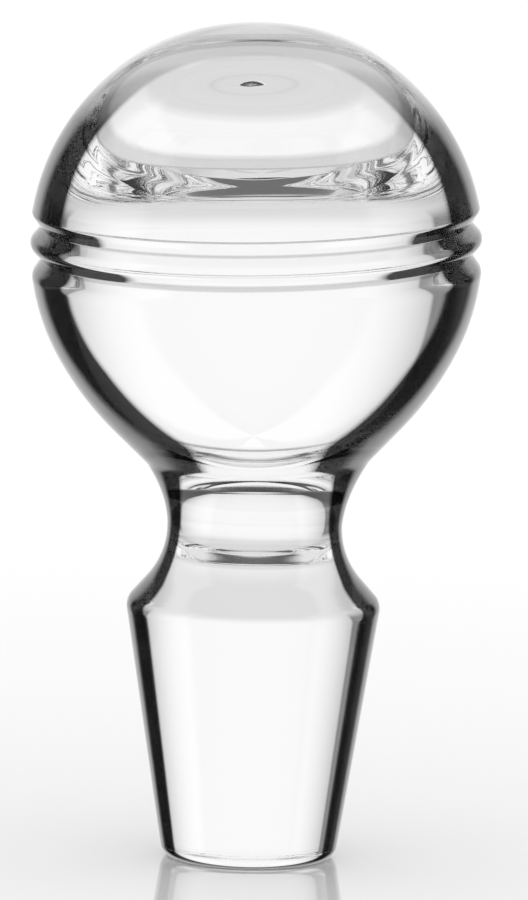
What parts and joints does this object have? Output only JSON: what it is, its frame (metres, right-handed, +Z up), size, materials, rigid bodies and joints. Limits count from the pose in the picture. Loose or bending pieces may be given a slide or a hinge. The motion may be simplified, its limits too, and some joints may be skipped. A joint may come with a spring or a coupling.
{
  "type": "glass stopper",
  "caption": "Solid clear glass ball stopper with a beaded band, a waisted neck and a tapered plug that stands on its flat foot.",
  "frame": {"origin": "centre of the flat foot, on the axis of the tapered plug", "axes": "+Z up the plug's axis towards the ball; the ball's top leans slightly towards -X; Y is level across the plug"},
  "size_m": [0.0502, 0.0502, 0.0937],
  "materials": {
    "clear_glass": "polished, with a faintly lapped plug"
  },
  "bodies": {
    "root": {"stopper": "clear_glass"}
  },
  "joints": []
}
